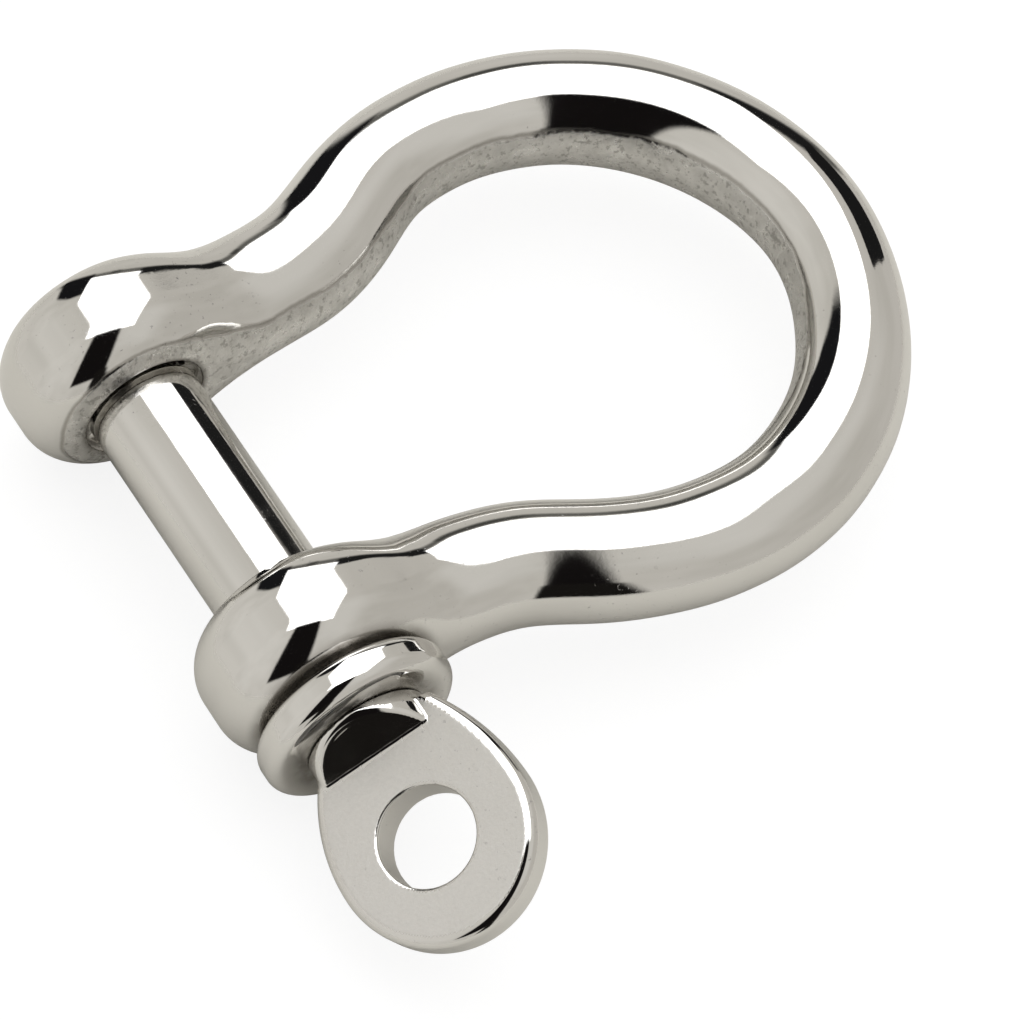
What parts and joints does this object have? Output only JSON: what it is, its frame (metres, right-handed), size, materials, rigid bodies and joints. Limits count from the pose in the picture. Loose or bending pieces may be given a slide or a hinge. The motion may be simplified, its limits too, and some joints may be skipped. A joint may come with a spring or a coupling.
{
  "type": "bow shackle",
  "caption": "Polished stainless bow shackle: rounded bow with ball-like ears, closed by a screw pin with a collar and a flat eye.",
  "frame": {"origin": "on the pin axis, midway between the two ears", "axes": "+X towards the crown of the bow, +Y along the pin from its eye to its threaded end, +Z normal to the plane of the bow"},
  "size_m": [0.0759, 0.0747, 0.0196],
  "materials": {
    "bow_steel": "mirror polished outside, rougher and pitted on the inside of the bow",
    "pin_steel": "mirror polished shank, satin ground eye flats",
    "collar_steel": "mirror polished"
  },
  "bodies": {
    "bow": {"bow": "bow_steel"},
    "collar": {"pin_collar": "collar_steel"},
    "pin": {"screw_pin": "pin_steel"}
  },
  "joints": [
    {"name": "pin_travel", "type": "slide", "parent": "bow", "child": "collar", "axis": [0, -1, 0], "range_m": [0, 0.045]},
    {"name": "pin_turn", "type": "hinge", "parent": "collar", "child": "pin", "pos_m": [0, 0, 0], "axis": [0, -1, 0], "range_deg": [0, 10800]}
  ],
  "couplings": [
    {"joint": "pin_turn", "follows": "pin_travel", "rad_per_m": 4188.8}
  ]
}
